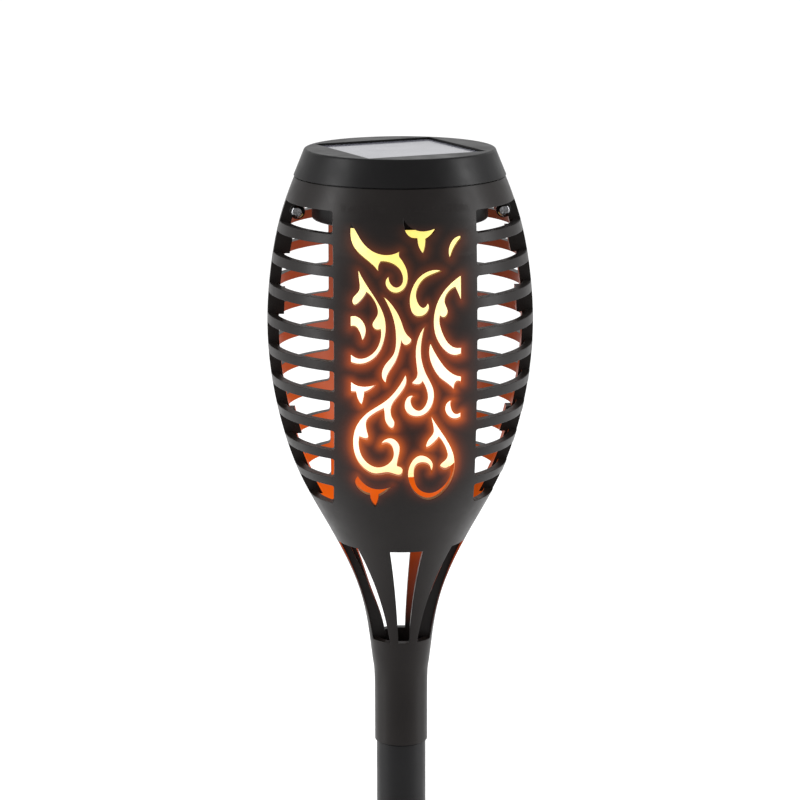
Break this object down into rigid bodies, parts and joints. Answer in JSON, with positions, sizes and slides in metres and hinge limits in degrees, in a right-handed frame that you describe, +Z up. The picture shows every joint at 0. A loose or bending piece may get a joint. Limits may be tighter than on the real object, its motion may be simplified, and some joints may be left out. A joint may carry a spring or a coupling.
{
  "type": "solar torch light",
  "caption": "Solar garden torch: a barrel lantern with scroll-cut panels and louvred sides round a lit diffuser, a twist-off solar cap, a push-together pole and a ground spike.",
  "frame": {"origin": "on the pole's axis at ground level, at the underside of the spike's flange", "axes": "+Z up along the pole, -Y towards the front panel, X across the side posts"},
  "size_m": [0.0762, 0.0762, 0.5005],
  "materials": {
    "shell_plastic": "satin moulded charcoal",
    "cap_plastic": "satin moulded black",
    "pole_plastic": "satin moulded black",
    "button_plastic": "matt",
    "white_plastic": "matt white",
    "frosted_diffuser": "frosted, lit from inside",
    "clear_cover": "clear encapsulant over the cell",
    "solar_cell": "dark silicon with fine silver lines",
    "seal_rubber": "matt silicone",
    "screw_steel": "bright zinc",
    "contact_metal": "nickel plated",
    "can_metal": "bright can",
    "green_board": "solder mask",
    "flex_board": "white solder mask",
    "chip_black": "moulded epoxy",
    "battery_sleeve": "shrink sleeve",
    "wire_red": "insulation",
    "led_amber": "lit amber lens"
  },
  "bodies": {
    "spike": {"ground_spike": "pole_plastic"},
    "lower_pole": {"lower_pole": "pole_plastic"},
    "upper_pole": {"upper_pole": "pole_plastic"},
    "lantern": {"lantern_front": "shell_plastic", "lantern_rear": "shell_plastic", "shell_screws": "screw_steel", "neck_ferrule": "pole_plastic"},
    "seal": {"cap_seal": "seal_rubber"},
    "cap": {"cap_shell": "cap_plastic", "cap_plug": "cap_plastic", "cap_screws": "screw_steel", "core_screws": "screw_steel", "solar_cell": "solar_cell", "solar_cover": "clear_cover", "solar_leads": "wire_red", "diffuser": "frosted_diffuser", "led_stem": "white_plastic", "led_board": "flex_board", "leds": "led_amber", "led_leads": "wire_red", "circuit_board": "green_board", "controller_chip": "chip_black", "charge_coil": "chip_black", "capacitor": "can_metal", "battery": "battery_sleeve", "battery_tray": "cap_plastic", "contact_positive": "contact_metal", "contact_negative": "contact_metal", "switch_body": "chip_black"},
    "button": {"switch_button": "button_plastic"}
  },
  "joints": [
    {"name": "lower_pole_pull", "type": "slide", "parent": "spike", "child": "lower_pole", "axis": [0, 0, 1], "range_m": [0, 0.028]},
    {"name": "upper_pole_pull", "type": "slide", "parent": "lower_pole", "child": "upper_pole", "axis": [0, 0, 1], "range_m": [0, 0.028]},
    {"name": "head_turn", "type": "hinge", "parent": "upper_pole", "child": "lantern", "pos_m": [0, 0, 0.22], "axis": [0, 0, 1], "continuous": true},
    {"name": "cap_lift", "type": "slide", "parent": "lantern", "child": "seal", "axis": [0, 0, 1], "range_m": [0, 0.115]},
    {"name": "cap_twist", "type": "hinge", "parent": "seal", "child": "cap", "pos_m": [0, 0, 0.3736], "axis": [0, 0, 1], "range_deg": [0, 25]},
    {"name": "switch_press", "type": "slide", "parent": "cap", "child": "button", "axis": [0, 0, 1], "range_m": [0, 0.001], "stiffness_N_per_m": 250, "springref_m": -0.001}
  ]
}
